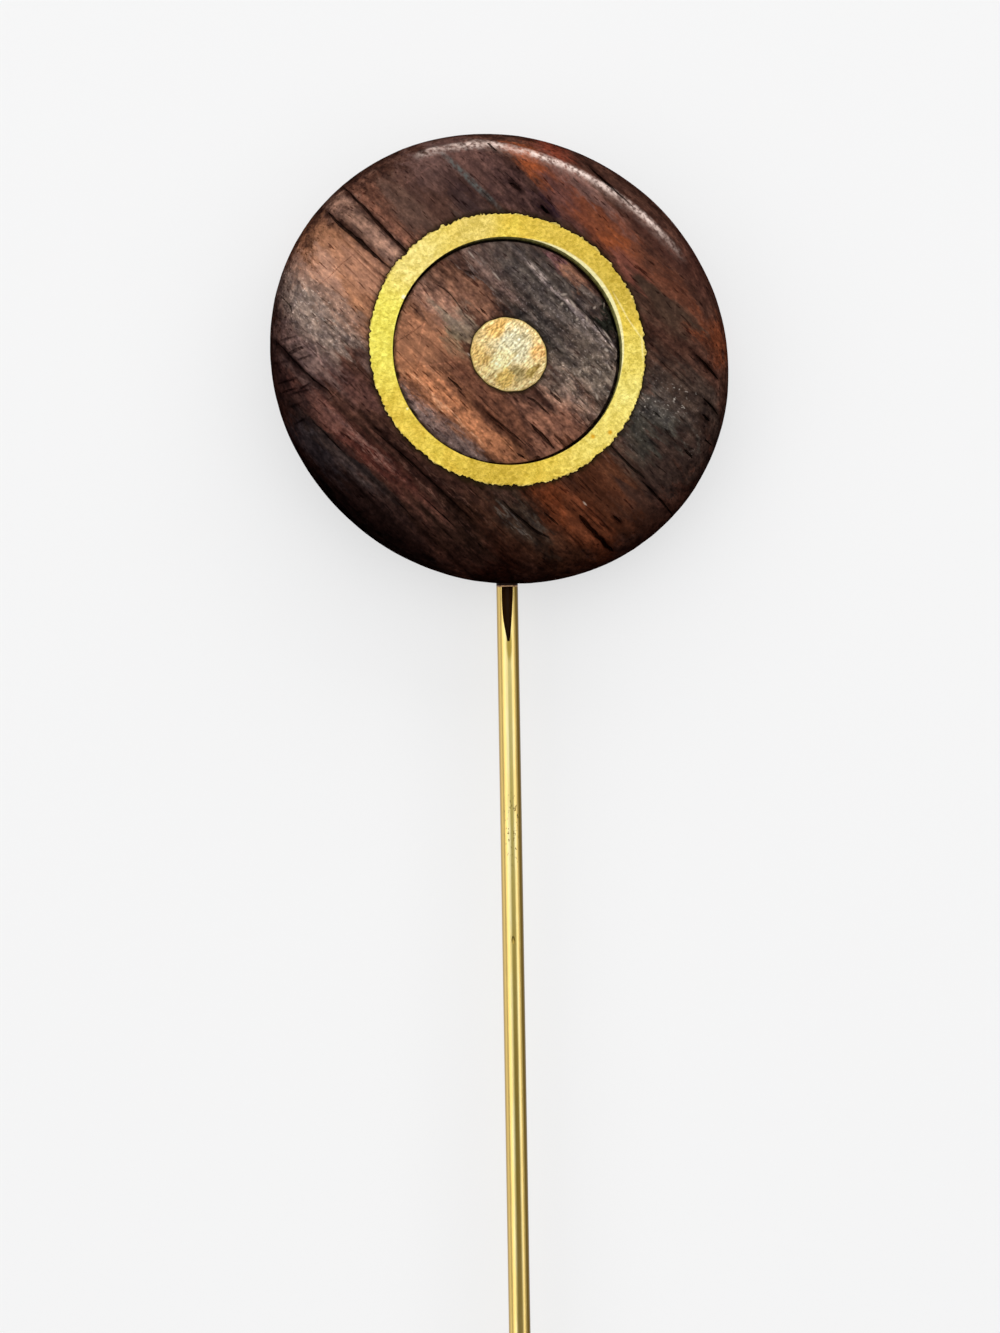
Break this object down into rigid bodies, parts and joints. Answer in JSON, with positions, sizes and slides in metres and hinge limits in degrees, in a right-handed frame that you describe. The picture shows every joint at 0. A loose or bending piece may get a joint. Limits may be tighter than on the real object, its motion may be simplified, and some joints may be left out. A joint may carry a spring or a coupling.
{
  "type": "stick pin",
  "caption": "Stick pin: oval hardwood disc with an inlaid brass ring and centre dot, on a straight stem rolled from sheet brass that ends in a point.",
  "frame": {"origin": "middle of the disc's flat back", "axes": "+Z out of the disc's face, -Y along the stem to its point, +X to the right as the face is seen with the stem down"},
  "size_m": [0.017, 0.0666, 0.0036],
  "materials": {
    "hardwood": "oiled and worn smooth, dark rosewood brown with red-brown streaks, satin",
    "ring_brass": "matt granular yellow",
    "dot_brass": "brushed flat, with light tarnish",
    "stem_brass": "polished, drawn lengthwise"
  },
  "bodies": {
    "root": {"wood_disc": "hardwood", "ring_inlay": "ring_brass", "centre_dot": "dot_brass", "pin_stem": "stem_brass"}
  },
  "joints": []
}
